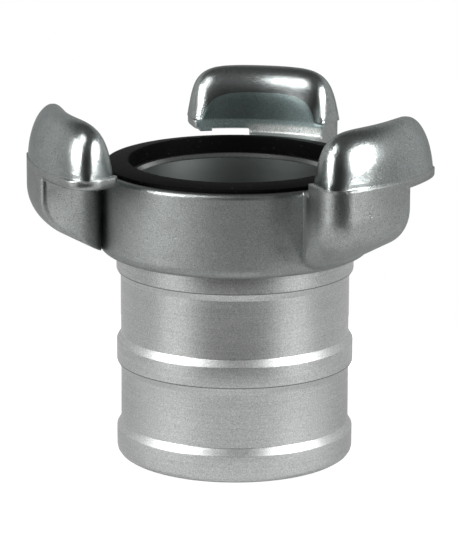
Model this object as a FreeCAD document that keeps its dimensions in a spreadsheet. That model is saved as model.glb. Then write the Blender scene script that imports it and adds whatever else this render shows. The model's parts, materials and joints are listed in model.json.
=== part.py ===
# Quarter turn fire hose coupling with three hooked claws and a swivelling tail for 70 mm hose.
# Millimetres, +Z from the hose end up to the claws, origin on the axis at the hose end.

import FreeCAD, Part
import Sketcher
import math
import os

doc = FreeCAD.newDocument("coupling")

# Driving sizes

drivingSizes = [
    ("tailRadius", 35.0, "ridges and collar, the inside radius of a 70 mm hose"),
    ("tubeWall", 5.5, "wall of the tail at its ridges"),
    ("waistDepth", 1.25, "depth of the grooves that the binding wire pulls the hose into"),
    ("tailEndRound", 2.6, "rounded edge that the hose slides over"),
    ("endRidge", 8.4, "height of the ridge at the hose end"),
    ("lowerWaist", 20.5, "groove between the two ridges, bevels included"),
    ("midRidge", 6.1, "height of the middle ridge"),
    ("upperWaist", 21.7, "groove between the middle ridge and the collar"),
    ("ridgeBevel", 2.1, "height of each bevel from ridge to groove"),
    ("collarShown", 5.5, "from the upper groove to the underside of the claw head"),
    ("journalStep", 0.6, "journal that the head turns on, beyond the collar"),
    ("flangeStep", 1.6, "flange that carries the head, beyond the journal"),
    ("flangeHeight", 7.6, "thickness of that flange"),
    ("stubWall", 3.9, "wall of the stub above the flange"),
    ("mouthDrop", 3.1, "top of the stub below the rim of the head"),
    ("mouthBevel", 1.1, "bright chamfer at the upper mouth"),
    ("headShoulder", 5.8, "inner shoulder that rests on the flange"),
    ("headFootRound", 3.0, "rounded lower edge of the head"),
    ("swivelGap", 0.05, "radial running clearance of the swivel"),
    ("restGap", 0.3, "clearance between turning faces"),
    ("snapThickness", 1.6, "wire ring that keeps the tail in"),
    ("snapDepth", 1.1, "how far the wire ring sits in its slot"),
    ("snapWidth", 3.2, "radial width of the wire ring"),
    ("snapSlack", 0.1, "slack of the ring in its slot"),
    ("snapOpening", 14.0, "degrees left open in the ring"),
    ("seatWeb", 4.5, "from the ring slot up to the seal recess"),
    ("sealSeatStep", 1.35, "recess for the seal, beyond the flange bore"),
    ("sealSeatDepth", 4.7, "depth of that recess below the rim"),
    ("rimWall", 1.7, "wall of the head round the seal"),
    ("rimRound", 1.3, "rounded outer edge of the rim"),
    ("sealFit", 0.1, "radial gap round the seal"),
    ("sealBoreStep", 1.9, "inner lip of the seal, beyond the water way"),
    ("sealShoulder", 1.0, "outer edge of the seal above the rim"),
    ("sealLip", 2.0, "inner lip of the seal above the rim"),
    ("sealEdgeBevel", 0.4, "broken edges of the seal"),
    ("clawCount", 3, "claws round the head"),
    ("clawHeading", 80.65, "degrees to the middle of the claw farthest from the viewer"),
    ("clawSpan", 49.2, "degrees covered by one dome"),
    ("stemSpan", 29.2, "degrees of that carried by the stem under the hook"),
    ("clawStand", 6.7, "turned inner face of the claws, beyond the head"),
    ("clawDepth", 13.85, "radial depth of the domes"),
    ("crestSetback", 6.4, "highest line of a dome, beyond its inner face"),
    ("clawRise", 19.6, "top of the claws above the rim"),
    ("hookRise", 0.9, "underside of the hooks above the rim"),
    ("seamRise", 3.9, "seam between the cast base and the dome, above the rim"),
    ("seamLedge", 0.25, "ledge that the base leaves outside the dome"),
    ("underSlope", 28.8, "degrees of the slanting underside of a claw"),
    ("heelRound", 12.0, "curve from that underside to the outer face"),
    ("cornerRound", 7.0, "upright outer corners of the claw base"),
    ("hookCornerRound", 2.0, "upright inner corner at the hook's end"),
    ("stemEdgeRound", 1.5, "outer upright edge of the stem beside the pocket"),
    ("neckTurn", 13.0, "degrees that the stem narrows to at the head, on the pocket side"),
    ("backNeckTurn", 3.0, "degrees that it narrows on the other side"),
    ("neckReach", 3.0, "where that narrowing starts, beyond the turned inner face"),
    ("hookEdgeRound", 1.5, "rounded lower edge of the hook"),
    ("nibDrop", 0.5, "catch at the hook's end, below its underside"),
    ("nibSpan", 4.4, "degrees covered by that catch"),
    ("domeInset", 1.17, "dome blank inside the turned inner face"),
    ("domeDraft", 0.13, "how much a dome shortens for each millimetre up"),
]

sheet = doc.addObject("Spreadsheet::Sheet", "sizes")
for row, (alias, number, meaning) in enumerate(drivingSizes, start=1):
    sheet.set("A%d" % row, alias)
    sheet.set("B%d" % row, str(number))
    sheet.set("C%d" % row, meaning)
    sheet.setAlias("B%d" % row, alias)
doc.recompute()

# Levels and radii worked out from the driving sizes

workedSizes = [
    ("waterRadius", "sizes.tailRadius - sizes.tubeWall"),
    ("waistRadius", "sizes.tailRadius - sizes.waistDepth"),
    ("journalRadius", "sizes.tailRadius + sizes.journalStep"),
    ("flangeRadius", "worked.journalRadius + sizes.flangeStep"),
    ("stubRadius", "worked.waterRadius + sizes.stubWall"),
    ("mouthRadius", "worked.waterRadius + sizes.mouthBevel"),
    ("headBore", "worked.journalRadius + sizes.swivelGap"),
    ("flangeBore", "worked.flangeRadius + sizes.swivelGap"),
    ("sealSeatRadius", "worked.flangeBore + sizes.sealSeatStep"),
    ("headRadius", "worked.sealSeatRadius + sizes.rimWall"),
    ("clawInner", "worked.headRadius + sizes.clawStand"),
    ("domeCrest", "worked.clawInner + sizes.crestSetback"),
    ("clawOuter", "worked.clawInner + sizes.clawDepth"),
    ("baseOuter", "worked.clawOuter + sizes.seamLedge"),
    ("lowerBevelFoot", "sizes.endRidge + sizes.ridgeBevel"),
    ("midRidgeFoot", "sizes.endRidge + sizes.lowerWaist"),
    ("lowerBevelTop", "worked.midRidgeFoot - sizes.ridgeBevel"),
    ("midRidgeTop", "worked.midRidgeFoot + sizes.midRidge"),
    ("upperBevelFoot", "worked.midRidgeTop + sizes.ridgeBevel"),
    ("collarFoot", "worked.midRidgeTop + sizes.upperWaist"),
    ("upperBevelTop", "worked.collarFoot - sizes.ridgeBevel"),
    ("headFoot", "worked.collarFoot + sizes.collarShown"),
    ("collarTop", "worked.headFoot - sizes.restGap"),
    ("shoulderLevel", "worked.headFoot + sizes.headShoulder"),
    ("flangeFoot", "worked.shoulderLevel + sizes.restGap"),
    ("flangeTop", "worked.flangeFoot + sizes.flangeHeight"),
    ("snapFoot", "worked.flangeTop + sizes.restGap"),
    ("snapTop", "worked.snapFoot + sizes.snapThickness"),
    ("slotFoot", "worked.snapFoot - sizes.snapSlack"),
    ("slotTop", "worked.snapTop + sizes.snapSlack"),
    ("seatLevel", "worked.slotTop + sizes.seatWeb"),
    ("rimLevel", "worked.seatLevel + sizes.sealSeatDepth"),
    ("tailTop", "worked.rimLevel - sizes.mouthDrop"),
    ("mouthFoot", "worked.tailTop - sizes.mouthBevel"),
    ("slotRadius", "worked.flangeBore + sizes.snapDepth"),
    ("snapOuter", "worked.slotRadius - sizes.snapSlack"),
    ("snapInner", "worked.snapOuter - sizes.snapWidth"),
    ("sealBore", "worked.waterRadius + sizes.sealBoreStep"),
    ("sealOuter", "worked.sealSeatRadius - sizes.sealFit"),
    ("sealFootOuter", "worked.flangeBore - sizes.sealFit"),
    ("sealFootInner", "worked.stubRadius + sizes.restGap"),
    ("sealFootLevel", "worked.snapTop + sizes.restGap"),
    ("sealStepLevel", "worked.tailTop + sizes.restGap"),
    ("sealShoulderLevel", "worked.rimLevel + sizes.sealShoulder"),
    ("sealLipLevel", "worked.rimLevel + sizes.sealLip"),
    ("hookLevel", "worked.rimLevel + sizes.hookRise"),
    ("nibLevel", "worked.hookLevel - sizes.nibDrop"),
    ("nibTop", "worked.hookLevel + sizes.nibDrop"),
    ("seamLevel", "worked.rimLevel + sizes.seamRise"),
    ("clawTop", "worked.rimLevel + sizes.clawRise"),
    ("clearLevel", "worked.clawTop + sizes.cornerRound"),
    ("domeFoot", "worked.seamLevel - sizes.seamLedge"),
    ("rootRadius", "worked.headRadius - sizes.headFootRound / 2"),
    ("underFoot", "worked.headFoot + sizes.headFootRound / 4"),
    ("heelLevel", "worked.underFoot + (worked.baseOuter - worked.rootRadius) * tan(sizes.underSlope * 1 deg)"),
    ("baseSpan", "sizes.clawSpan + 2 * sizes.seamLedge / worked.domeCrest * 180 / pi"),
    ("backHeading", "sizes.clawHeading - worked.baseSpan / 2"),
    ("stemEndHeading", "worked.backHeading + sizes.stemSpan"),
    ("hookEndHeading", "sizes.clawHeading + worked.baseSpan / 2"),
    ("stemHeading", "worked.backHeading + sizes.stemSpan / 2"),
    ("plateInner", "worked.clawInner - sizes.seamLedge"),
    ("plateSpan", "worked.baseSpan - sizes.stemSpan / 2"),
    ("plateHeading", "worked.hookEndHeading - worked.plateSpan / 2"),
    ("nibEndHeading", "worked.hookEndHeading - sizes.hookCornerRound / worked.clawInner * 180 / pi"),
    ("nibHeading", "worked.nibEndHeading - sizes.nibSpan / 2"),
    ("nibOuter", "worked.clawOuter - sizes.cornerRound"),
    ("neckStart", "worked.clawInner + sizes.neckReach"),
    ("neckInner", "worked.rootRadius * cos(sizes.neckTurn * 1 deg) - sizes.restGap"),
    ("neckAcross", "worked.headRadius * cos(sizes.neckTurn * 1 deg)"),
    ("neckBack", "worked.headRadius * sin(sizes.neckTurn * 1 deg)"),
    ("backNeckAcross", "worked.headRadius * cos(sizes.backNeckTurn * 1 deg)"),
    ("backNeckBack", "worked.headRadius * sin(sizes.backNeckTurn * 1 deg)"),
]

worked = doc.addObject("App::FeaturePython", "worked")
for name, rule in workedSizes:
    worked.addProperty("App::PropertyFloat", name, "Levels")
    worked.setExpression(name, rule)
doc.recompute()


closeEnough = 0.01


def path(name):
    return ("worked." if name in worked.PropertiesList else "sizes.") + name


def size(name):
    if name in worked.PropertiesList:
        return float(getattr(worked, name))
    return float(sheet.get(name))


def newBody(label):
    body = doc.addObject("PartDesign::Body", label)
    body.Label = label
    return body


def originItem(body, role):
    return next(item for item in body.Origin.OriginFeatures if item.Role == role)


# A half section on the upright plane, turned about the axis to a heading: each corner names its radius and level

def halfSection(body, name, corners, heading=None):
    sketch = body.newObject("Sketcher::SketchObject", name)
    sketch.AttachmentSupport = [(originItem(body, "XZ_Plane"), "")]
    sketch.MapMode = "FlatFace"
    if heading:
        turn = FreeCAD.Rotation(FreeCAD.Vector(0, 1, 0), size(heading))
        sketch.AttachmentOffset = FreeCAD.Placement(FreeCAD.Vector(0, 0, 0), turn)
        sketch.setExpression("AttachmentOffset.Rotation.Angle", path(heading))
    points = [FreeCAD.Vector(size(across) if across else 0, size(up) if up else 0, 0) for across, up in corners]
    for index, point in enumerate(points):
        sketch.addGeometry(Part.LineSegment(point, points[(index + 1) % len(points)]), False)
    for index in range(len(points)):
        sketch.addConstraint(Sketcher.Constraint("Coincident", index, 2, (index + 1) % len(points), 1))
    for index, (across, up) in enumerate(corners):
        for kind, driver, value in (("DistanceX", across, points[index].x), ("DistanceY", up, points[index].y)):
            if not driver:
                onAxis = -2 if kind == "DistanceX" else -1
                sketch.addConstraint(Sketcher.Constraint("PointOnObject", index, 1, onAxis))
                continue
            number = sketch.addConstraint(Sketcher.Constraint(kind, -1, 1, index, 1, value))
            sketch.setExpression("Constraints[%d]" % number, path(driver))
    return sketch


def turned(body, kind, name, corners, heading=None, sweep=None):
    sketch = halfSection(body, name + "Section", corners, heading)
    feature = body.newObject("PartDesign::" + kind, name)
    feature.Profile = sketch
    feature.ReferenceAxis = (sketch, ["V_Axis"])
    feature.Angle = 360.0
    if sweep:
        feature.Midplane = True
        feature.setExpression("Angle", path(sweep))
    doc.recompute()
    return feature


def rounded(body, name, feature, radius, test, kind="Fillet"):
    edges = ["Edge%d" % number for number, edge in enumerate(feature.Shape.Edges, start=1) if test(edge)]
    edging = body.newObject("PartDesign::" + kind, name)
    edging.Base = (feature, edges)
    edging.setExpression("Radius" if kind == "Fillet" else "Size", path(radius))
    doc.recompute()
    return edging


# Edges are picked by where their middle lies: its radius, its level and its heading

def middleAt(edge, radius=None, level=None, heading=None):
    point = edge.valueAt((edge.FirstParameter + edge.LastParameter) / 2)
    found = [
        (radius, math.hypot(point.x, point.y)),
        (level, point.z),
        (heading, math.degrees(math.atan2(point.y, point.x))),
    ]
    return all(name is None or abs(value - size(name)) < closeEnough for name, value in found)


def upright(edge):
    return edge.BoundBox.ZLength > closeEnough


def fused(body, name, tool):
    joined = body.newObject("PartDesign::Boolean", name)
    joined.Type = "Fuse"
    joined.setObjects([tool])
    doc.recompute()


# Hose tail: turned tube with two ridges, a collar, a flange that carries the head and a stub

tail = newBody("hose_tail")
tailTurned = turned(tail, "Revolution", "tailTurned", [
    ("waterRadius", None),
    ("tailRadius", None),
    ("tailRadius", "endRidge"),
    ("waistRadius", "lowerBevelFoot"),
    ("waistRadius", "lowerBevelTop"),
    ("tailRadius", "midRidgeFoot"),
    ("tailRadius", "midRidgeTop"),
    ("waistRadius", "upperBevelFoot"),
    ("waistRadius", "upperBevelTop"),
    ("tailRadius", "collarFoot"),
    ("tailRadius", "collarTop"),
    ("journalRadius", "collarTop"),
    ("journalRadius", "flangeFoot"),
    ("flangeRadius", "flangeFoot"),
    ("flangeRadius", "flangeTop"),
    ("stubRadius", "flangeTop"),
    ("stubRadius", "tailTop"),
    ("mouthRadius", "tailTop"),
    ("waterRadius", "mouthFoot"),
])
rounded(tail, "tailEndRounding", tailTurned, "tailEndRound",
        lambda edge: edge.BoundBox.ZMax < closeEnough and middleAt(edge, "tailRadius"))

# Face seal: rubber ring with a raised inner lip and a foot in the channel round the stub

seal = newBody("face_seal")
sealTurned = turned(seal, "Revolution", "sealTurned", [
    ("sealBore", "sealStepLevel"),
    ("sealFootInner", "sealStepLevel"),
    ("sealFootInner", "sealFootLevel"),
    ("sealFootOuter", "sealFootLevel"),
    ("sealFootOuter", "seatLevel"),
    ("sealOuter", "seatLevel"),
    ("sealOuter", "sealShoulderLevel"),
    ("sealBore", "sealLipLevel"),
])
rounded(seal, "sealEdges", sealTurned, "sealEdgeBevel",
        lambda edge: middleAt(edge, "sealBore", "sealLipLevel")
        or middleAt(edge, "sealOuter", "sealShoulderLevel"), "Chamfer")

# Retaining ring: open ring that snaps into the head above the flange

snap = newBody("retaining_ring")
snapTurned = turned(snap, "Revolution", "snapTurned", [
    ("snapInner", "snapFoot"),
    ("snapOuter", "snapFoot"),
    ("snapOuter", "snapTop"),
    ("snapInner", "snapTop"),
])
snapTurned.setExpression("Angle", "360 - sizes.snapOpening")

# Claw stem: slanting underside, curved heel, and sides that narrow towards the head

claw = newBody("claw")
stem = turned(claw, "Revolution", "stem", [
    ("rootRadius", "underFoot"),
    ("baseOuter", "heelLevel"),
    ("baseOuter", "seamLevel"),
    ("rootRadius", "seamLevel"),
], "stemHeading", "stemSpan")
heel = rounded(claw, "heelRounding", stem, "heelRound",
               lambda edge: middleAt(edge, "baseOuter", "heelLevel", "stemHeading"))
stemBack = rounded(claw, "stemBackRounding", heel, "cornerRound",
                   lambda edge: upright(edge) and middleAt(edge, "baseOuter", heading="backHeading"))
rounded(claw, "stemEndRounding", stemBack, "stemEdgeRound",
        lambda edge: upright(edge) and middleAt(edge, "baseOuter", heading="stemEndHeading"))


# The outline of a narrowing: an arc that leaves the end face smoothly and runs in to the head

def narrowed(name, heading, side, across, back):
    sketch = claw.newObject("Sketcher::SketchObject", name + "Outline")
    sketch.AttachmentSupport = [(originItem(claw, "XY_Plane"), "")]
    sketch.MapMode = "FlatFace"
    turn = FreeCAD.Rotation(FreeCAD.Vector(0, 0, 1), size(heading))
    sketch.AttachmentOffset = FreeCAD.Placement(FreeCAD.Vector(0, 0, 0), turn)
    sketch.setExpression("AttachmentOffset.Rotation.Angle", path(heading))
    start = FreeCAD.Vector(size("neckStart"), 0, 0)
    foot = FreeCAD.Vector(size(across), -side * size(back), 0)
    inside = FreeCAD.Vector(size("neckInner"), foot.y, 0)
    outside = FreeCAD.Vector(size("neckInner"), side * size("neckReach"), 0)
    reach = start.x - foot.x
    radius = (reach ** 2 + foot.y ** 2) / abs(2 * foot.y)
    centre = FreeCAD.Vector(start.x, -side * radius, 0)
    ends = [math.atan2(point.y - centre.y, point.x - centre.x) for point in (start, foot)]
    if side < 0:
        ends.reverse()
    circle = Part.Circle(centre, FreeCAD.Vector(0, 0, 1), radius)
    sketch.addGeometry(Part.ArcOfCircle(circle, *ends), False)
    for first, second in ((foot, inside), (inside, outside), (outside, start)):
        sketch.addGeometry(Part.LineSegment(first, second), False)
    startEnd, footEnd = (1, 2) if side > 0 else (2, 1)
    for joint in ((0, footEnd, 1, 1), (1, 2, 2, 1), (2, 2, 3, 1), (3, 2, 0, startEnd)):
        sketch.addConstraint(Sketcher.Constraint("Coincident", *joint))
    sketch.addConstraint(Sketcher.Constraint("PointOnObject", 0, startEnd, -1))
    placed = [
        ("DistanceX", 0, 3, "neckStart", start.x, 1),
        ("DistanceX", 0, startEnd, "neckStart", start.x, 1),
        ("DistanceX", 0, footEnd, across, foot.x, 1),
        ("DistanceY", 0, footEnd, back, foot.y, -side),
        ("DistanceX", 1, 2, "neckInner", inside.x, 1),
        ("DistanceY", 1, 2, back, inside.y, -side),
        ("DistanceX", 2, 2, "neckInner", outside.x, 1),
        ("DistanceY", 2, 2, "neckReach", outside.y, side),
    ]
    for kind, piece, end, driver, value, sign in placed:
        number = sketch.addConstraint(Sketcher.Constraint(kind, -1, 1, piece, end, value))
        sketch.setExpression("Constraints[%d]" % number, "%d * %s" % (sign, path(driver)))
    pocket = claw.newObject("PartDesign::Pocket", name)
    pocket.Profile = sketch
    pocket.Reversed = True
    pocket.setExpression("Length", path("hookLevel"))
    doc.recompute()


narrowed("pocketSideNeck", "stemEndHeading", 1, "neckAcross", "neckBack")
narrowed("backSideNeck", "backHeading", -1, "backNeckAcross", "backNeckBack")

# Hook: plate that overhangs the stem, with a rounded lower edge and a small catch near its end

hook = newBody("hook")
hookPlate = turned(hook, "Revolution", "hookPlate", [
    ("plateInner", "hookLevel"),
    ("baseOuter", "hookLevel"),
    ("baseOuter", "seamLevel"),
    ("plateInner", "seamLevel"),
], "plateHeading", "plateSpan")
hookEnd = rounded(hook, "hookEndRounding", hookPlate, "cornerRound",
                  lambda edge: upright(edge) and middleAt(edge, "baseOuter", heading="hookEndHeading"))
hookCorner = rounded(hook, "hookCornerRounding", hookEnd, "hookCornerRound",
                     lambda edge: upright(edge) and middleAt(edge, "plateInner", heading="hookEndHeading"))
rounded(hook, "hookEdgeRounding", hookCorner, "hookEdgeRound",
        lambda edge: middleAt(edge, "baseOuter", "hookLevel"))
turned(hook, "Revolution", "hookNib", [
    ("clawInner", "nibLevel"),
    ("nibOuter", "nibLevel"),
    ("nibOuter", "nibTop"),
    ("clawInner", "nibTop"),
], "nibHeading", "nibSpan")
fused(claw, "hookJoined", hook)


# Dome: a pebble bent round the axis, steep outside and sloping inside, lofted through level outlines

domeForm = {
    "stations": 32,
    "leans": (0, 20, 38, 54, 68, 78, 86),
    "lengthPower": 5.0,
    "outerPower": 2.1,
    "innerPower": 1.9,
    "outerPlan": (4.6, 2.4),
    "innerPlan": (4.4, 3.2),
}


def superEllipse(share, power):
    return max(0.0, 1 - share ** power) ** (1 / power)


def between(ends, share):
    return ends[0] + (ends[1] - ends[0]) * share


def domeOutline(rise):
    crest = size("domeCrest")
    share = rise / (size("clawTop") - size("domeFoot"))
    fullLength = math.radians(size("clawSpan") / 2) * crest - size("domeDraft") * rise
    halfLength = fullLength * superEllipse(share, domeForm["lengthPower"])
    outward = (size("clawOuter") - crest) * superEllipse(share, domeForm["outerPower"])
    inward = (crest - size("clawInner") + size("domeInset")) * superEllipse(share, domeForm["innerPower"])
    outerSide = (outward, between(domeForm["outerPlan"], share))
    innerSide = (inward, between(domeForm["innerPlan"], share))
    stations = domeForm["stations"]
    points = []
    for station in range(stations):
        angle = 2 * math.pi * station / stations
        along, side = math.cos(angle), math.sin(angle)
        width, power = outerSide if side > 0 else innerSide
        radius = crest + math.copysign(width * abs(side) ** (2 / power), side)
        turn = math.copysign(halfLength * abs(along) ** (2 / power), along) / crest
        heading = math.radians(size("clawHeading")) + turn
        points.append(FreeCAD.Vector(radius * math.cos(heading), radius * math.sin(heading), 0))
    curve = Part.BSplineCurve()
    knots = [station / stations for station in range(stations + 1)]
    curve.interpolate(Points=points, PeriodicFlag=True, Parameters=knots)
    return curve


def domeSketch(number, lean):
    sketch = claw.newObject("Sketcher::SketchObject", "domeOutline%d" % number)
    rise = (size("clawTop") - size("domeFoot")) * math.sin(math.radians(lean))
    lift = FreeCAD.Vector(0, 0, size("domeFoot") + rise)
    sketch.AttachmentSupport = [(originItem(claw, "XY_Plane"), "")]
    sketch.MapMode = "FlatFace"
    sketch.AttachmentOffset = FreeCAD.Placement(lift, FreeCAD.Rotation())
    sketch.addGeometry(domeOutline(rise), False)
    return sketch


outlines = [domeSketch(number, lean) for number, lean in enumerate(domeForm["leans"], start=1)]
doc.recompute()
dome = claw.newObject("PartDesign::AdditiveLoft", "dome")
dome.Profile = outlines[0]
dome.Sections = outlines[1:]
dome.Ruled = False
doc.recompute()

# The claws are turned on the inside down to the rim

turned(claw, "Groove", "innerTurning", [
    (None, "rimLevel"),
    ("clawInner", "rimLevel"),
    ("clawInner", "clearLevel"),
    (None, "clearLevel"),
])

# Claw head: turned ring with its shoulder, ring slot and seal recess, carrying the claws

head = newBody("claw_head")
headTurned = turned(head, "Revolution", "headTurned", [
    ("headBore", "headFoot"),
    ("headRadius", "headFoot"),
    ("headRadius", "rimLevel"),
    ("sealSeatRadius", "rimLevel"),
    ("sealSeatRadius", "seatLevel"),
    ("flangeBore", "seatLevel"),
    ("flangeBore", "slotTop"),
    ("slotRadius", "slotTop"),
    ("slotRadius", "slotFoot"),
    ("flangeBore", "slotFoot"),
    ("flangeBore", "shoulderLevel"),
    ("headBore", "shoulderLevel"),
])
footRounded = rounded(head, "headFootRounding", headTurned, "headFootRound",
                      lambda edge: middleAt(edge, "headRadius", "headFoot"))
rounded(head, "headRimRounding", footRounded, "rimRound",
        lambda edge: middleAt(edge, "headRadius", "rimLevel"))
fused(head, "clawJoined", claw)
clawRing = head.newObject("PartDesign::PolarPattern", "clawRing")
clawRing.TransformMode = "Whole shape"
clawRing.Axis = (originItem(head, "Z_Axis"), [""])
clawRing.Angle = 360.0
clawRing.setExpression("Occurrences", path("clawCount"))
head.Tip = clawRing
doc.recompute()

# Every feature and every finished piece is checked before any file is written

for item in doc.Objects:
    if "Invalid" in item.State or "Error" in item.State:
        raise RuntimeError(item.Name + " failed")
pieces = [tail, head, seal, snap]
for piece in pieces:
    if piece.Shape.isNull() or not piece.Shape.isValid() or len(piece.Shape.Solids) != 1:
        raise RuntimeError(piece.Label + " is not one sound solid")

os.makedirs("parts", exist_ok=True)
for piece in pieces:
    piece.Shape.exportStep("parts/%s.step" % piece.Label)
    print(piece.Label, round(piece.Shape.Volume / 1000, 2), "cm3")
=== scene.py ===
# Quarter turn fire hose coupling: forged aluminium head with three hooked claws, turned tail, face seal.
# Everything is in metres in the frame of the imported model, with the hose end at z = 0.

import json
import math

import bmesh
import bpy
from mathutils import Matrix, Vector


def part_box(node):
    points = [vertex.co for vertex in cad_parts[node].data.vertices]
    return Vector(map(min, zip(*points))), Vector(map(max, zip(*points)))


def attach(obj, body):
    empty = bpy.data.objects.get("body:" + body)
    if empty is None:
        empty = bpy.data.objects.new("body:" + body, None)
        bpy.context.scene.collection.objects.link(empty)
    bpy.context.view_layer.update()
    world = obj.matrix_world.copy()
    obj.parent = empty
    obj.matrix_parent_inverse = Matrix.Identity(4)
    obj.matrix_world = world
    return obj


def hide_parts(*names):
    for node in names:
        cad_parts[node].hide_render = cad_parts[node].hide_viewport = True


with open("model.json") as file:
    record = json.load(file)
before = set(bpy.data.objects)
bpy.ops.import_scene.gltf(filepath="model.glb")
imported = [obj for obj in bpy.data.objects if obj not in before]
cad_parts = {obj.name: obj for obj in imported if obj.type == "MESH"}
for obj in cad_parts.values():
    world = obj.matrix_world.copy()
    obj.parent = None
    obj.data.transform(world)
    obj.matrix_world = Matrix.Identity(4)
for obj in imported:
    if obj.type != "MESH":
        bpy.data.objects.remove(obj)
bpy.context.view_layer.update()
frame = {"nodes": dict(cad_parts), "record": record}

mm = 0.001

mounts = {mount["name"]: mount for mount in frame["record"]["mounts"]}
waterRadius = mounts["water_way"]["dims"]["r_mm"] * mm
hoseRadius = mounts["hose_seat"]["dims"]["r_mm"] * mm
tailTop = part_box("hose_tail")[1].z
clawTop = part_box("claw_head")[1].z
sealFoot, sealTop = (corner.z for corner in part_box("face_seal"))
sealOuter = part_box("face_seal")[1].x


# Shader maths is written as plain expressions on these sockets

class Signal:
    def __init__(self, graph, socket):
        self.graph = graph
        self.socket = socket

    def math(self, operation, *others):
        return self.graph.node("ShaderNodeMath", {"operation": operation}, [self, *others])

    def __add__(self, other):
        return self.math("ADD", other)

    def __sub__(self, other):
        return self.math("SUBTRACT", other)

    def __rsub__(self, other):
        return self.graph.node("ShaderNodeMath", {"operation": "SUBTRACT"}, [other, self])

    def __mul__(self, other):
        return self.math("MULTIPLY", other)

    def __pow__(self, other):
        return self.math("POWER", other)

    __radd__ = __add__
    __rmul__ = __mul__

    # 0 below the first value, 1 above the second, smooth between them
    def rise(self, low, high):
        settings = {"interpolation_type": "SMOOTHSTEP"}
        return self.graph.node("ShaderNodeMapRange", settings, [self, low, high, 0.0, 1.0])

    # 1 from the first value to the second, with soft ends
    def band(self, low, high, soft):
        return self.rise(low - soft, low + soft) * (1 - self.rise(high - soft, high + soft))


class Graph:
    def __init__(self, tree):
        self.nodes = tree.nodes
        self.links = tree.links

    def node(self, kind, settings, values, output=0):
        made = self.nodes.new(kind)
        for setting, value in settings.items():
            setattr(made, setting, value)
        named = values.items() if isinstance(values, dict) else enumerate(values)
        for key, value in named:
            if isinstance(value, Signal):
                self.links.new(value.socket, made.inputs[key])
            else:
                made.inputs[key].default_value = value
        return Signal(self, made.outputs[output])

    def axes(self, place):
        return [self.node("ShaderNodeSeparateXYZ", {}, [place], axis) for axis in "XYZ"]

    # the kinds of ray: from the camera, mirrored, or through glass
    def rays(self):
        return [self.node("ShaderNodeLightPath", {}, {}, "Is %s Ray" % kind)
                for kind in ("Camera", "Glossy", "Transmission")]


class Finish(Graph):
    def __init__(self, name, **fixed):
        self.material = bpy.data.materials.new(name)
        self.material.use_nodes = True
        super().__init__(self.material.node_tree)
        self.shader = self.nodes["Principled BSDF"]
        for socketName, value in fixed.items():
            self.shader.inputs[socketName.replace("_", " ")].default_value = value
        self.place = self.node("ShaderNodeTexCoord", {}, {}, "Object")
        x, y, self.level = self.axes(self.place)
        self.radius = (x * x + y * y) ** 0.5
        self.heading = self.node("ShaderNodeMath", {"operation": "ARCTAN2"}, [y, x])

    def feed(self, socketName, signal):
        self.links.new(signal.socket, self.shader.inputs[socketName])

    # a colour or a direction, from the first to the second
    def mix(self, kind, share, first, second):
        start, output = {"RGBA": (6, 2), "VECTOR": (4, 1)}[kind]
        values = {0: share, start: first, start + 1: second}
        return self.node("ShaderNodeMix", {"data_type": kind}, values, output)

    def blend(self, share, first, second):
        colours = [(*shade, 1.0) if isinstance(shade, tuple) else shade for shade in (first, second)]
        return self.mix("RGBA", share, *colours)

    def noise(self, size, detail=2.0, rough=0.5, stretch=(1, 1, 1)):
        scaled = self.node("ShaderNodeMapping", {}, {"Vector": self.place, "Scale": stretch})
        values = {"Vector": scaled, "Scale": 1 / size, "Detail": detail, "Roughness": rough}
        return self.node("ShaderNodeTexNoise", {}, values)

    def bump(self, height, distance, strength, normal=None):
        values = {"Strength": strength, "Distance": distance, "Height": height}
        if normal:
            values["Normal"] = normal
        return self.node("ShaderNodeBump", {}, values)


# Head: rough skin on the ring, smoother claws, polished domes above the seam, turned panel inside each claw
# painted darker as partly its own tone and partly a painted dark reflection, and a painted highlight low on
# each claw's stem

seamLevel = clawTop - 15.7 * mm
panelRadius = 47.0 * mm

castAluminium = {
    "skinShade": (0.39, 0.41, 0.405),
    "clawShade": (0.49, 0.515, 0.505),
    "domeShade": (0.53, 0.575, 0.57),
    # darker teal-grey for the turned inner panel: partly the machined face's own tone, partly a painted dark
    # reflection
    "panelToneAndReflection": (0.31, 0.41, 0.405),
    # painted highlight colour for the low part of each claw's turned stem face
    "stemHighlightShade": (0.9, 0.92, 0.9),
    "edgeTint": (0.54, 0.55, 0.55),
    "skinRoughness": 0.54,
    "clawRoughness": 0.34,
    "rimRoughness": 0.36,
    "domeRoughness": 0.235,
    "panelRoughness": 0.36,
    "dappleSize": 5 * mm,
    "dappleMiddle": 0.45,
    "dappleShare": 0.85,
    "dappleShade": (0.2, 0.205, 0.2),
    "dappleRoughness": 0.12,
    "poreSize": 1.43 * mm,
    "poreStart": (0.62, 0.72),
    "poreShare": 0.25,
    "poreDepth": 0.7,
    "speckSize": 0.32 * mm,
    "speckContrast": 2.2,
    "speckShare": 0.3,
    "speckShade": (0.16, 0.165, 0.16),
    "grainSize": 0.55 * mm,
    "grainDepth": 0.05 * mm,
    "domeSmoothing": 0.5,
    "turningPitch": 0.22 * mm,
    "turningStretch": (0.01, 0.01, 1.0),
    "turningDepth": 0.02 * mm,
    "softEdge": 1.0 * mm,
    "domeEdge": 5.5 * mm,
    "clawRadii": (40.5 * mm, 44 * mm),
    "glossRadii": (42 * mm, 46 * mm),
    "glossLevels": (74 * mm, 86 * mm),
    "rimRadii": (41 * mm, 41.5 * mm),
    "rimLevels": (85.2 * mm, 86.2 * mm),
    "domeLevels": (seamLevel - 0.2 * mm, seamLevel + 0.5 * mm),
    "roundLevels": (seamLevel + 0.8 * mm, seamLevel + 2.5 * mm),
    "panelRadii": (panelRadius - 0.5 * mm, panelRadius + 0.18 * mm),
    "panelSoft": 0.07 * mm,
    "panelLevels": (87.2 * mm, 87.6 * mm),
    "clawPitch": math.radians(120),
    "highlightHeadings": (math.radians(56), math.radians(84)),
    "highlightHeadingSoft": math.radians(4),
    "highlightLevels": (86.5 * mm, 89.6 * mm),
    "highlightLevelSoft": 0.8 * mm,
}


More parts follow.
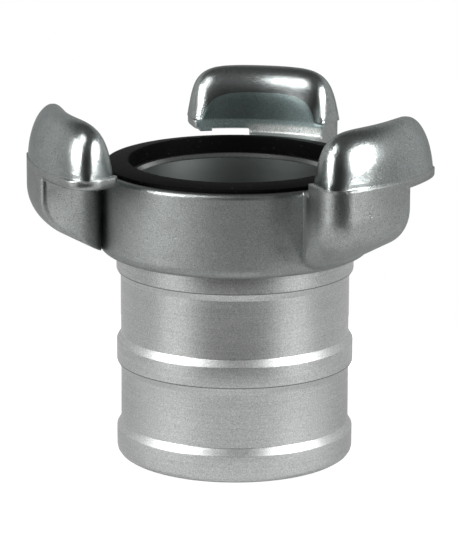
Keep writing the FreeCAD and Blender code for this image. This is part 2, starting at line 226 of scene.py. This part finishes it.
def makeCastFinish(user):
    finish = Finish("forgedAluminium", Metallic=1.0, Specular_Tint=(*user["edgeTint"], 1.0))
    softEdge = finish.node("ShaderNodeBevel", {"samples": 6}, {"Radius": user["softEdge"]})
    domeEdge = finish.node("ShaderNodeBevel", {"samples": 8}, {"Radius": user["domeEdge"]})
    edge = finish.mix("VECTOR", finish.level.rise(*user["roundLevels"]), softEdge, domeEdge)
    grain = finish.noise(user["grainSize"], detail=3.0, rough=0.6)
    pores = finish.noise(user["poreSize"]).rise(*user["poreStart"])
    dapple = finish.noise(user["dappleSize"], detail=3.0, rough=0.55)
    speck = finish.noise(user["speckSize"], rough=0.7)
    turning = finish.noise(user["turningPitch"], rough=0.6, stretch=user["turningStretch"])

    claw = finish.radius.rise(*user["clawRadii"])
    dome = finish.level.rise(*user["domeLevels"])
    turned = finish.radius.band(*user["panelRadii"], user["panelSoft"])
    panel = turned * finish.level.rise(*user["panelLevels"])
    # the same headings on each claw
    around = (finish.heading + 2 * math.pi).math("MODULO", user["clawPitch"])
    stem = around.band(*user["highlightHeadings"], user["highlightHeadingSoft"])
    # painted highlight: a lighter colour low on the turned inner face of each claw's stem, where the light
    # glints
    paintedHighlight = turned * stem * finish.level.band(*user["highlightLevels"], user["highlightLevelSoft"])
    gloss = finish.radius.rise(*user["glossRadii"]) * finish.level.rise(*user["glossLevels"])
    rim = (1 - finish.radius.rise(*user["rimRadii"])) * finish.level.rise(*user["rimLevels"])

    shade = finish.blend(claw, user["skinShade"], user["clawShade"])
    shade = finish.blend(dome, shade, user["domeShade"])
    # the turned inner panel is painted darker: partly its own machined tone, partly a painted dark
    # reflection of the bore and seal
    shade = finish.blend(panel, shade, user["panelToneAndReflection"])
    shade = finish.blend(paintedHighlight, shade, user["stemHighlightShade"])
    clouds = (dapple - user["dappleMiddle"]) * user["dappleShare"] + pores * user["poreShare"]
    shade = finish.blend(clouds, shade, user["dappleShade"])
    specks = (speck - 0.5) * user["speckContrast"] + user["speckShare"]
    finish.feed("Base Color", finish.blend(specks, shade, user["speckShade"]))

    roughness = user["skinRoughness"] - gloss * (user["skinRoughness"] - user["clawRoughness"])
    roughness = roughness - dome * (user["clawRoughness"] - user["domeRoughness"])
    roughness = roughness - rim * (user["skinRoughness"] - user["rimRoughness"])
    roughness = roughness + panel * (user["panelRoughness"] - user["domeRoughness"])
    finish.feed("Roughness", roughness + (dapple - 0.5) * user["dappleRoughness"])

    height = grain * (1 - dome * user["domeSmoothing"]) - pores * (1 - dome) * user["poreDepth"]
    skin = finish.bump(height, user["grainDepth"], strength=0.8, normal=edge)
    finish.feed("Normal", finish.bump(turning * panel, user["turningDepth"], strength=0.6, normal=skin))
    return finish.material


# Tail: fine rings and specks, a painted shadow line in the crease at the foot of the middle ridge and of the
# collar, painted shade in the bore, a bright mouth

turnedAluminium = {
    "shade": (0.68, 0.695, 0.685),
    "darkShade": (0.3, 0.31, 0.305),
    # painted shade colour for the inside of the bore
    "boreShadow": (0.29, 0.315, 0.31),
    # painted shadow colour for the thin lines in the creases at the ridge feet
    "creaseShadowShade": (0.12, 0.12, 0.118),
    "roughness": 0.36,
    "boreRoughness": 0.42,
    "mouthRoughness": 0.2,
    "bevelRoughness": 0.46,
    "ringPitch": 0.45 * mm,
    "ringDepth": 0.03 * mm,
    "ringShare": 0.5,
    "bandPitch": 3.6 * mm,
    "bandShare": 0.1,
    "bandRoughness": 0.04,
    "ringStretch": (0.02, 0.02, 1.0),
    "speckSize": 0.32 * mm,
    "speckShare": 2.2,
    "darkShare": 0.85,
    "grainSize": 0.6 * mm,
    "grainDepth": 0.02 * mm,
    "grainRoughness": 0.1,
    "creaseShadowWidth": 0.16 * mm,
    "creaseShadowSoft": 0.05 * mm,
    "creaseShadowShare": 0.85,
    "boreRadii": (waterRadius + 0.1 * mm, waterRadius + 0.4 * mm),
    "insideRadii": (waterRadius + 1.2 * mm, waterRadius + 1.5 * mm),
    "mouthLevels": (tailTop - 1.3 * mm, tailTop - 1.0 * mm),
    "outsideRadii": (hoseRadius - 1.5 * mm, hoseRadius - 1.4 * mm),
    "slopeRadii": (hoseRadius - 1.24 * mm, hoseRadius - 1.18 * mm),
    "waistRadii": (hoseRadius - 0.04 * mm, hoseRadius),
}


def makeTurnedFinish(user, ridgeFeet):
    finish = Finish("turnedAluminium", Metallic=1.0)
    rings = finish.noise(user["ringPitch"], detail=3.0, rough=0.7, stretch=user["ringStretch"])
    bands = finish.noise(user["bandPitch"], stretch=user["ringStretch"])
    grain = finish.noise(user["grainSize"])
    speck = finish.noise(user["speckSize"], rough=0.7)

    bore = 1 - finish.radius.rise(*user["boreRadii"])
    inside = 1 - finish.radius.rise(*user["insideRadii"])
    mouth = inside * finish.level.rise(*user["mouthLevels"])
    outside = finish.radius.rise(*user["outsideRadii"])
    waist = 1 - finish.radius.rise(*user["waistRadii"])
    slope = outside * waist * finish.radius.rise(*user["slopeRadii"])
    # painted shadow lines in the crease at the foot of the middle ridge and of the collar
    lowCreaseShadow, highCreaseShadow = (
        finish.level.band(foot - user["creaseShadowWidth"], foot + user["creaseShadowWidth"], user["creaseShadowSoft"])
        for foot in ridgeFeet)

    bright = rings * user["ringShare"] + bands * user["bandShare"] + speck * user["speckShare"]
    shade = finish.blend(bright - user["darkShare"], user["darkShade"], user["shade"])
    shade = finish.blend((lowCreaseShadow + highCreaseShadow) * outside * user["creaseShadowShare"], shade, user["creaseShadowShade"])
    # the bore is painted darker: painted shade inside the water way
    finish.feed("Base Color", finish.blend(bore, shade, user["boreShadow"]))

    roughness = user["roughness"] + inside * (user["boreRoughness"] - user["roughness"])
    roughness = roughness - mouth * (user["boreRoughness"] - user["mouthRoughness"])
    roughness = roughness + slope * (user["bevelRoughness"] - user["roughness"])
    roughness = roughness + (bands - 0.5) * user["bandRoughness"]
    finish.feed("Roughness", roughness + (grain - 0.5) * user["grainRoughness"])

    ringed = finish.bump(rings, user["ringDepth"], strength=0.5)
    finish.feed("Normal", finish.bump(grain, user["grainDepth"], strength=0.3, normal=ringed))
    return finish.material


blackRubber = {
    "shade": (0.001, 0.001, 0.001),
    "scuffShade": (0.03, 0.03, 0.031),
    "sheen": 0.05,
    "roughness": 0.6,
    "grainSize": 0.5 * mm,
    "grainDepth": 0.02 * mm,
    "grainRoughness": 0.2,
    "scuffSize": 1.1 * mm,
    "scuffStretch": (1.0, 0.35, 1.0),
    "scuffStart": (0.62, 0.75),
    "scuffShare": 0.5,
}


def makeRubberFinish(user):
    finish = Finish("blackRubber", Specular_IOR_Level=user["sheen"])
    grain = finish.noise(user["grainSize"], detail=3.0, rough=0.6)
    scuffs = finish.noise(user["scuffSize"], detail=3.0, rough=0.6, stretch=user["scuffStretch"])
    scuffs = scuffs.rise(*user["scuffStart"]) * user["scuffShare"]
    finish.feed("Base Color", finish.blend(scuffs, user["shade"], user["scuffShade"]))
    finish.feed("Roughness", user["roughness"] + (grain - 0.5) * user["grainRoughness"])
    finish.feed("Normal", finish.bump(grain, user["grainDepth"], strength=0.4))
    return finish.material


springSteel = {
    "shade": (0.44, 0.44, 0.44),
    "darkShade": (0.28, 0.28, 0.28),
    "drawnPitch": 0.3 * mm,
    "drawnStretch": (0.05, 0.05, 1.0),
    "drawnRoughness": 0.2,
    "roughness": 0.25,
}


def makeSpringFinish(user):
    finish = Finish("springSteel", Metallic=1.0)
    drawn = finish.noise(user["drawnPitch"], stretch=user["drawnStretch"])
    finish.feed("Base Color", finish.blend(drawn, user["darkShade"], user["shade"]))
    finish.feed("Roughness", drawn * user["drawnRoughness"] + user["roughness"])
    return finish.material


# Turned pieces: a profile of radius and level is spun once round the axis, then its corners are rounded

lathe = {
    "steps": 240,
    "roundSegments": 4,
    "sharpAngle": math.radians(20),
    "cornerReach": 0.01 * mm,
    "mergeReach": 0.001 * mm,
}


def spunPiece(name, profile, corners, finish, body, nodes):
    mesh = bmesh.new()
    points = [mesh.verts.new((radius, 0, level)) for radius, level in profile]
    loop = [mesh.edges.new((point, points[index - 1])) for index, point in enumerate(points)]
    bmesh.ops.spin(mesh, geom=points + loop, cent=(0, 0, 0), axis=(0, 0, 1), dvec=(0, 0, 0),
                   angle=2 * math.pi, steps=lathe["steps"], use_merge=True, use_duplicate=False)
    bmesh.ops.remove_doubles(mesh, verts=mesh.verts, dist=lathe["mergeReach"])
    bmesh.ops.recalc_face_normals(mesh, faces=mesh.faces)
    for radius, level, rounding in corners:
        ring = [edge for edge in mesh.edges if all(
            abs(math.hypot(point.co.x, point.co.y) - radius) < lathe["cornerReach"]
            and abs(point.co.z - level) < lathe["cornerReach"] for point in edge.verts)]
        bmesh.ops.bevel(mesh, geom=ring, offset=rounding, segments=lathe["roundSegments"],
                        profile=0.5, affect="EDGES", material=-1)
    for face in mesh.faces:
        face.smooth = True
    for edge in mesh.edges:
        edge.smooth = edge.calc_face_angle(0.0) < lathe["sharpAngle"]
    data = bpy.data.meshes.new(name)
    mesh.to_mesh(data)
    mesh.free()
    data.materials.append(finish)
    piece = bpy.data.objects.new(name, data)
    bpy.context.scene.collection.objects.link(piece)
    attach(piece, body)
    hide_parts(*nodes)


# Tail: ridges and grooves that hold the hose, then the collar and the hidden flange and stub

tail = {
    "endRound": 2.6 * mm,
    "endRidgeTop": 8.4 * mm,
    "midRidgeFoot": 28.9 * mm,
    "midRidgeTop": 35.0 * mm,
    "collarFoot": 56.7 * mm,
    "bevelHeight": 2.1 * mm,
    "grooveDepth": 1.25 * mm,
    "collarTop": 61.9 * mm,
    "journalRadius": 35.6 * mm,
    "flangeFoot": 68.3 * mm,
    "flangeTop": 75.9 * mm,
    "flangeRadius": 37.2 * mm,
    "stubRadius": 33.4 * mm,
    "mouthBevel": 1.1 * mm,
    "edgeRound": 0.15 * mm,
}


def makeTail(user, finish):
    groove = hoseRadius - user["grooveDepth"]
    bevel = user["bevelHeight"]
    ridgeLevels = (user["endRidgeTop"], user["midRidgeFoot"], user["midRidgeTop"], user["collarFoot"])
    grooveLevels = (user["endRidgeTop"] + bevel, user["midRidgeFoot"] - bevel,
                    user["midRidgeTop"] + bevel, user["collarFoot"] - bevel)
    profile = [
        (waterRadius, 0.0),
        (hoseRadius, 0.0),
        (hoseRadius, user["endRidgeTop"]),
        (groove, grooveLevels[0]),
        (groove, grooveLevels[1]),
        (hoseRadius, user["midRidgeFoot"]),
        (hoseRadius, user["midRidgeTop"]),
        (groove, grooveLevels[2]),
        (groove, grooveLevels[3]),
        (hoseRadius, user["collarFoot"]),
        (hoseRadius, user["collarTop"]),
        (user["journalRadius"], user["collarTop"]),
        (user["journalRadius"], user["flangeFoot"]),
        (user["flangeRadius"], user["flangeFoot"]),
        (user["flangeRadius"], user["flangeTop"]),
        (user["stubRadius"], user["flangeTop"]),
        (user["stubRadius"], tailTop),
        (waterRadius + user["mouthBevel"], tailTop),
        (waterRadius, tailTop - user["mouthBevel"]),
    ]
    corners = [(hoseRadius, 0.0, user["endRound"])]
    corners += [(hoseRadius, level, user["edgeRound"]) for level in ridgeLevels]
    corners += [(groove, level, user["edgeRound"]) for level in grooveLevels]
    spunPiece("hoseTail", profile, corners, finish, "tail", ["hose_tail"])


# Seal: soft ring with a raised inner lip that meets the other coupling's seal

seal = {
    "bore": 31.4 * mm,
    "footInner": 33.7 * mm,
    "footOuter": 37.15 * mm,
    "stepLevel": 84.3 * mm,
    "seatLevel": 82.4 * mm,
    "shoulderDrop": 1.0 * mm,
    "edgeRound": 0.6 * mm,
}


def makeSeal(user, finish):
    shoulder = sealTop - user["shoulderDrop"]
    profile = [
        (user["bore"], user["stepLevel"]),
        (user["footInner"], user["stepLevel"]),
        (user["footInner"], sealFoot),
        (user["footOuter"], sealFoot),
        (user["footOuter"], user["seatLevel"]),
        (sealOuter, user["seatLevel"]),
        (sealOuter, shoulder),
        (user["bore"], sealTop),
    ]
    corners = [(sealOuter, shoulder, user["edgeRound"]), (user["bore"], sealTop, user["edgeRound"])]
    spunPiece("faceSeal", profile, corners, finish, "head", ["face_seal"])


castFinish = makeCastFinish(castAluminium)
turnedFinish = makeTurnedFinish(turnedAluminium, (tail["midRidgeFoot"], tail["collarFoot"]))
rubberFinish = makeRubberFinish(blackRubber)
springFinish = makeSpringFinish(springSteel)
print("finishes made")

makeTail(tail, turnedFinish)
makeSeal(seal, rubberFinish)
for nodeName, finish, slotName in (("claw_head", castFinish, "cast_aluminium"),
                                   ("retaining_ring", springFinish, "spring_steel")):
    node = frame["nodes"][nodeName]
    node.data.materials.clear()
    node.data.materials.append(finish)
print("pieces made")


# Studio: pale table in a white surround, which gloss sees pale behind and beside, dark in front and overhead

studio = {
    "tableRadius": 0.16,
    "tableSides": 96,
    "tableShade": 0.6,
    "tableRoughness": 0.9,
    "tableGlow": 0.7,
    "tableSheen": 0.12,
    "glowStart": 0.5,
    "fill": 0.32,
    "frontGlow": 0.02,
    "backGlow": 0.62,
    "sideGlow": 0.95,
    "skyGlow": 0.1,
    "depthSpan": (-0.6, 0.6),
    "skySpan": (0.4, 0.8),
    "sideAcross": (0.5, 0.8),
    "sideAlong": (-0.4, 0.0),
    "sideUp": (-0.05, 0.15),
}


def makeFloor(user):
    mesh = bmesh.new()
    bmesh.ops.create_circle(mesh, cap_ends=True, segments=user["tableSides"], radius=user["tableRadius"])
    data = bpy.data.meshes.new("tableTop")
    mesh.to_mesh(data)
    mesh.free()
    table = bpy.data.objects.new("tableTop", data)
    bpy.context.scene.collection.objects.link(table)
    shade = user["tableShade"]
    paint = Finish("tablePaint", Base_Color=(shade, shade, shade, 1.0), Roughness=user["tableRoughness"],
                   Emission_Strength=1.0)
    camera, glossy, clear = paint.rays()
    seen = camera.math("MAXIMUM", clear).math("MAXIMUM", glossy * user["tableSheen"])
    rim = paint.radius.rise(user["tableRadius"] * user["glowStart"], user["tableRadius"])
    glow = seen * (rim * (1 - user["tableGlow"]) + user["tableGlow"])
    paint.feed("Emission Color", paint.blend(glow, (0.0, 0.0, 0.0), (1.0, 1.0, 1.0)))
    data.materials.append(paint.material)


def makeSurround(user):
    world = bpy.data.worlds.new("surround")
    bpy.context.scene.world = world
    world.use_nodes = True
    sky = Graph(world.node_tree)
    camera, glossy, clear = sky.rays()
    across, along, up = sky.axes(sky.node("ShaderNodeTexCoord", {}, {}, "Generated"))
    depth = along.rise(*user["depthSpan"])
    height = up.rise(*user["skySpan"])
    beside = across.math("ABSOLUTE").rise(*user["sideAcross"])
    beside = beside * (1 - along.rise(*user["sideAlong"])) * (1 - up.rise(*user["sideUp"]))
    low = depth * (user["backGlow"] - user["frontGlow"]) + beside * user["sideGlow"] + user["frontGlow"]
    shown = low * (1 - height) + height * user["skyGlow"]
    lit = shown * glossy + (1 - glossy) * user["fill"]
    strength = lit.math("MAXIMUM", camera).math("MAXIMUM", clear)
    background = sky.nodes["Background"]
    sky.links.new(strength.socket, background.inputs["Strength"])
    background.inputs["Color"].default_value = (1.0, 1.0, 1.0, 1.0)


# Lamps: a tall soft box on each side of the camera and a small one above it, all aimed at the grooves

aimLevel = 0.07

softBoxes = {
    "softBoxLeft": {"heading": -62.0, "distance": 1.3, "level": 0.6,
                    "width": 0.6, "height": 0.62, "power": 17.5},
    "softBoxRight": {"heading": 62.0, "distance": 1.3, "level": 0.6,
                     "width": 0.6, "height": 0.62, "power": 19.5},
    "topBox": {"heading": -46.0, "distance": 0.8, "level": 1.05,
               "width": 0.36, "height": 0.36, "power": 3.0},
}


def makeSoftBox(name, user):
    lamp = bpy.data.lights.new(name, "AREA")
    lamp.shape = "RECTANGLE"
    lamp.size = user["width"]
    lamp.size_y = user["height"]
    lamp.energy = user["power"]
    box = bpy.data.objects.new(name, lamp)
    turn = math.radians(user["heading"])
    box.location = (user["distance"] * math.sin(turn), -user["distance"] * math.cos(turn), user["level"])
    aim = Vector((0, 0, aimLevel)) - box.location
    box.rotation_euler = aim.to_track_quat("-Z", "Y").to_euler()
    bpy.context.scene.collection.objects.link(box)


makeFloor(studio)
makeSurround(studio)
for name, user in softBoxes.items():
    makeSoftBox(name, user)
print("studio made")


# Camera: long lens, a little above the rim, turned as the photograph shows the claws

view = {
    "target": (-1.77 * mm, 0.0, 54.21 * mm),
    "distance": 1.0,
    "elevation": 14.25,
    "roll": 0.18,
    "lens": 222.7,
    "sensorWidth": 36.0,
    "nearClip": 0.05,
}


def makeCamera(user):
    lens = bpy.data.cameras.new("camera")
    lens.sensor_width = user["sensorWidth"]
    lens.lens = user["lens"]
    lens.clip_start = user["nearClip"]
    camera = bpy.data.objects.new("camera", lens)
    rise = math.radians(user["elevation"])
    back = Vector((0, -math.cos(rise), math.sin(rise)))
    camera.location = Vector(user["target"]) + back * user["distance"]
    camera.rotation_euler = (-back).to_track_quat("-Z", "Y").to_euler()
    camera.rotation_euler.rotate_axis("Z", math.radians(user["roll"]))
    bpy.context.scene.collection.objects.link(camera)
    bpy.context.scene.camera = camera


makeCamera(view)
bpy.context.scene.view_settings.view_transform = "Standard"
print("camera made")
